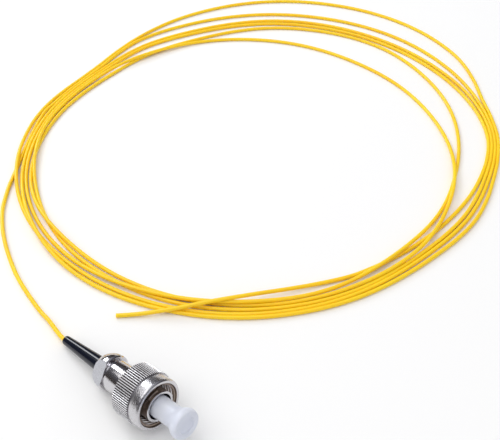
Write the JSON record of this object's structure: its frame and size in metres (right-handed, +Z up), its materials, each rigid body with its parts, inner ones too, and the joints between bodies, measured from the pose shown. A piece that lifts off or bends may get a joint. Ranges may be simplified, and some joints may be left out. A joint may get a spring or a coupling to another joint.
{
  "type": "fibre optic pigtail",
  "caption": "Round screw-nut fibre connector with a tapered boot and a pull-off dust cap, on a loosely coiled length of tight-buffered optical fibre that ends in a bare cut end.",
  "frame": {"origin": "centre of the connector's box at ground level, below the coupling nut's rear; the free fibre isn't counted", "axes": "+X from the boot towards the dust cap along the ground, +Y across it towards the coil, +Z up"},
  "size_m": [0.1209, 0.1536, 0.0111],
  "materials": {
    "nickel_plate": "polished nickel plating over turned brass",
    "ferrule_ceramic": "polished zirconia",
    "cap_plastic": "milky translucent moulded plastic",
    "boot_plastic": "glossy black moulded plastic",
    "fibre_buffer": "satin yellow extruded buffer"
  },
  "bodies": {
    "root": {"rear_body": "nickel_plate", "plug_frame": "nickel_plate", "boot": "boot_plastic", "fibre_lead": "fibre_buffer", "fibre_coil": "fibre_buffer", "fibre_tail": "fibre_buffer"},
    "nut": {"coupling_nut": "nickel_plate"},
    "sprung_ferrule": {"ferrule": "ferrule_ceramic", "ferrule_holder": "nickel_plate"},
    "cap": {"dust_cap": "cap_plastic"}
  },
  "joints": [
    {"name": "nut_spin", "type": "hinge", "parent": "root", "child": "nut", "pos_m": [0.00312, 0, 0.00507], "axis": [0.9832, 0, 0.1825], "continuous": true},
    {"name": "ferrule_float", "type": "slide", "parent": "root", "child": "sprung_ferrule", "axis": [0.9832, 0, 0.1825], "range_m": [-0.0012, 0], "stiffness_N_per_m": 600},
    {"name": "cap_pull", "type": "slide", "parent": "sprung_ferrule", "child": "cap", "axis": [0.9832, 0, 0.1825], "range_m": [0, 0.012]}
  ]
}
